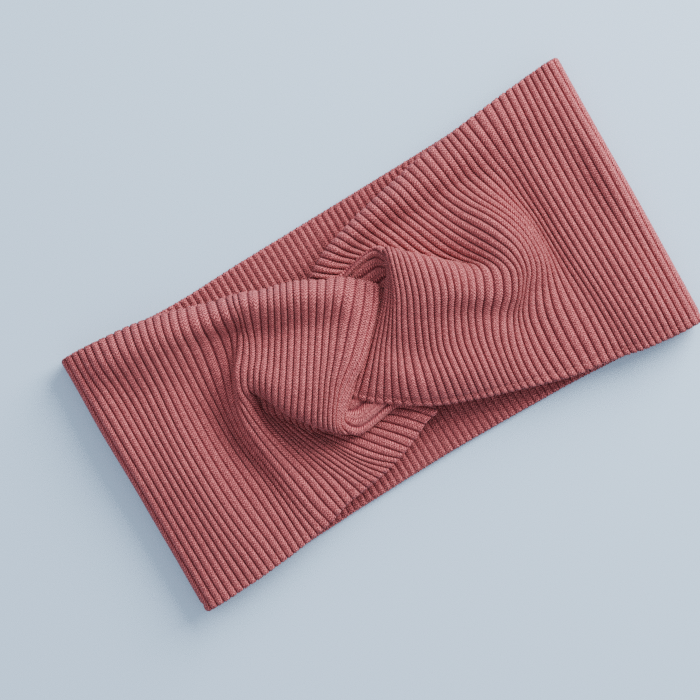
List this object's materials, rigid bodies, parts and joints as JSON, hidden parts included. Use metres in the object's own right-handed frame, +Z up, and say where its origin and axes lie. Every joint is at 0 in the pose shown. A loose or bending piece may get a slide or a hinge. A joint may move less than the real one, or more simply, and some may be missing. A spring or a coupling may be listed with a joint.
{
  "type": "twist headband",
  "caption": "Wide ribbed-knit headband, a flattened cloth tube joined into a loop by a soft twist knot, lying flat with its knot up.",
  "frame": {"origin": "middle of the flat underside, on the surface that the band lies on", "axes": "+X along the band, +Y across it, +Z up through the twist knot"},
  "size_m": [0.24, 0.12, 0.0271],
  "materials": {
    "rib_knit": "soft ribbed knit, dusty rose, matt with a slight fuzz",
    "sewing_thread": "matching polyester thread"
  },
  "bodies": {
    "back_centre": {"back_centre_tube": "rib_knit", "back_left_bend": "rib_knit", "back_right_bend": "rib_knit", "back_centre_seam_thread": "sewing_thread"},
    "back_left": {"back_left_tube": "rib_knit", "left_end_fold": "rib_knit", "back_left_seam_thread": "sewing_thread"},
    "front_left": {"front_left_tube": "rib_knit", "front_left_bend": "rib_knit", "front_left_seam_thread": "sewing_thread"},
    "knot_left": {"left_front_arm": "rib_knit", "left_back_arm": "rib_knit", "left_loop_turn": "rib_knit", "closing_seam_allowance": "rib_knit", "closing_seam_thread": "sewing_thread"},
    "back_right": {"back_right_tube": "rib_knit", "right_end_fold": "rib_knit", "back_right_seam_thread": "sewing_thread"},
    "front_right": {"front_right_tube": "rib_knit", "front_right_bend": "rib_knit", "front_right_seam_thread": "sewing_thread"},
    "knot_right": {"right_front_arm": "rib_knit", "right_back_arm": "rib_knit", "right_loop_turn": "rib_knit"}
  },
  "joints": [
    {"name": "loop_opening", "type": "hinge", "parent": "back_centre", "child": "back_left", "pos_m": [-0.065, 0, 0.0017], "axis": [0, 1, 0], "range_deg": [0, 70]},
    {"name": "left_fold", "type": "hinge", "parent": "back_left", "child": "front_left", "pos_m": [-0.1141, 0, 0.0059], "axis": [0, -1, 0], "range_deg": [0, 140]},
    {"name": "left_knot_bend", "type": "hinge", "parent": "front_left", "child": "knot_left", "pos_m": [-0.065, 0, 0.0101], "axis": [0, 1, 0], "range_deg": [0, 70]},
    {"name": "right_loop_opening", "type": "hinge", "parent": "back_centre", "child": "back_right", "pos_m": [0.065, 0, 0.0017], "axis": [0, -1, 0], "range_deg": [0, 70]},
    {"name": "right_fold", "type": "hinge", "parent": "back_right", "child": "front_right", "pos_m": [0.1141, 0, 0.0059], "axis": [0, 1, 0], "range_deg": [0, 140]},
    {"name": "right_knot_bend", "type": "hinge", "parent": "front_right", "child": "knot_right", "pos_m": [0.065, 0, 0.0101], "axis": [0, -1, 0], "range_deg": [0, 70]}
  ],
  "couplings": [
    {"joint": "left_fold", "follows": "loop_opening", "ratio": 2},
    {"joint": "left_knot_bend", "follows": "loop_opening", "ratio": 1},
    {"joint": "right_loop_opening", "follows": "loop_opening", "ratio": 1},
    {"joint": "right_fold", "follows": "loop_opening", "ratio": 2},
    {"joint": "right_knot_bend", "follows": "loop_opening", "ratio": 1}
  ]
}
